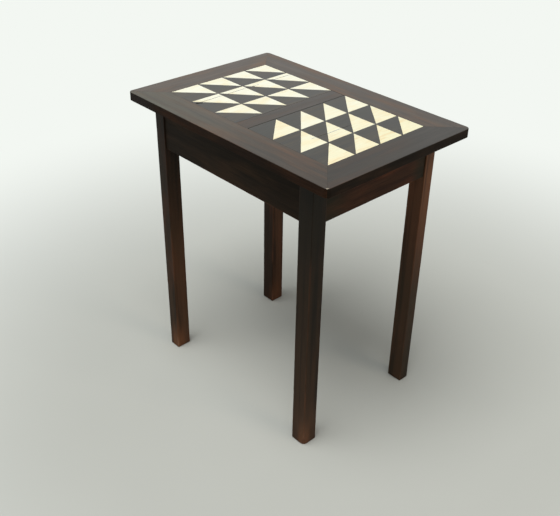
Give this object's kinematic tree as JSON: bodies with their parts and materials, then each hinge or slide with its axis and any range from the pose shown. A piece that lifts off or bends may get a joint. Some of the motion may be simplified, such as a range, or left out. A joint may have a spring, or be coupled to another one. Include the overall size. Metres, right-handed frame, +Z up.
{
  "type": "side table",
  "caption": "Small rectangular side table with a mitred dark wood top, two inlaid panels of cream and dark triangles, straight legs and plain aprons.",
  "frame": {"origin": "on the floor, under the middle of the top", "axes": "+X along the long side towards the right panel, +Y along the short side towards the back, +Z up"},
  "size_m": [0.6, 0.4, 0.66],
  "materials": {
    "stained_wood": "dark brown stained hardwood, satin lacquer, worn at the feet and edges",
    "top_wood": "dark brown stained hardwood, satin lacquer, fine grain along each strip",
    "charcoal_inlay": "charcoal stained wood face, satin",
    "cream_inlay": "cream coloured light wood inlay, satin",
    "pale_wood": "bare softwood, hidden under the top",
    "core_board": "bare softwood board glued up from strips, seen from below only",
    "screw_steel": "zinc plated"
  },
  "bodies": {
    "root": {"leg_front_left": "stained_wood", "leg_front_right": "stained_wood", "leg_back_right": "stained_wood", "leg_back_left": "stained_wood", "apron_front": "stained_wood", "apron_right": "stained_wood", "apron_back": "stained_wood", "apron_left": "stained_wood", "corner_block_front_left": "pale_wood", "corner_block_front_right": "pale_wood", "corner_block_back_right": "pale_wood", "corner_block_back_left": "pale_wood", "cleat_front": "pale_wood", "cleat_back": "pale_wood", "core_board": "core_board", "border_front": "top_wood", "border_right": "top_wood", "border_back": "top_wood", "border_left": "top_wood", "centre_strip": "top_wood", "inlay_panel_left": "charcoal_inlay", "inlay_panel_right": "charcoal_inlay", "inlay_left_1_1": "cream_inlay", "inlay_left_1_2": "cream_inlay", "inlay_left_1_3": "cream_inlay", "inlay_left_1_4": "cream_inlay", "inlay_left_2_1": "cream_inlay", "inlay_left_2_2": "cream_inlay", "inlay_left_2_3": "cream_inlay", "inlay_left_2_4": "cream_inlay", "inlay_left_3_1": "cream_inlay", "inlay_left_3_2": "cream_inlay", "inlay_left_3_3": "cream_inlay", "inlay_left_3_4": "cream_inlay", "inlay_right_1_1": "cream_inlay", "inlay_right_1_2": "cream_inlay", "inlay_right_1_3": "cream_inlay", "inlay_right_1_4": "cream_inlay", "inlay_right_2_1": "cream_inlay", "inlay_right_2_2": "cream_inlay", "inlay_right_2_3": "cream_inlay", "inlay_right_2_4": "cream_inlay", "inlay_right_3_1": "cream_inlay", "inlay_right_3_2": "cream_inlay", "inlay_right_3_3": "cream_inlay", "inlay_right_3_4": "cream_inlay", "leg_screw_front_left_lower": "screw_steel", "leg_screw_front_left_upper": "screw_steel", "leg_screw_front_right_lower": "screw_steel", "leg_screw_front_right_upper": "screw_steel", "leg_screw_back_right_lower": "screw_steel", "leg_screw_back_right_upper": "screw_steel", "leg_screw_back_left_lower": "screw_steel", "leg_screw_back_left_upper": "screw_steel", "top_screw_front_left": "screw_steel", "top_screw_front_right": "screw_steel", "top_screw_back_right": "screw_steel", "top_screw_back_left": "screw_steel", "cleat_screw_front": "screw_steel", "cleat_screw_back": "screw_steel"}
  },
  "joints": []
}
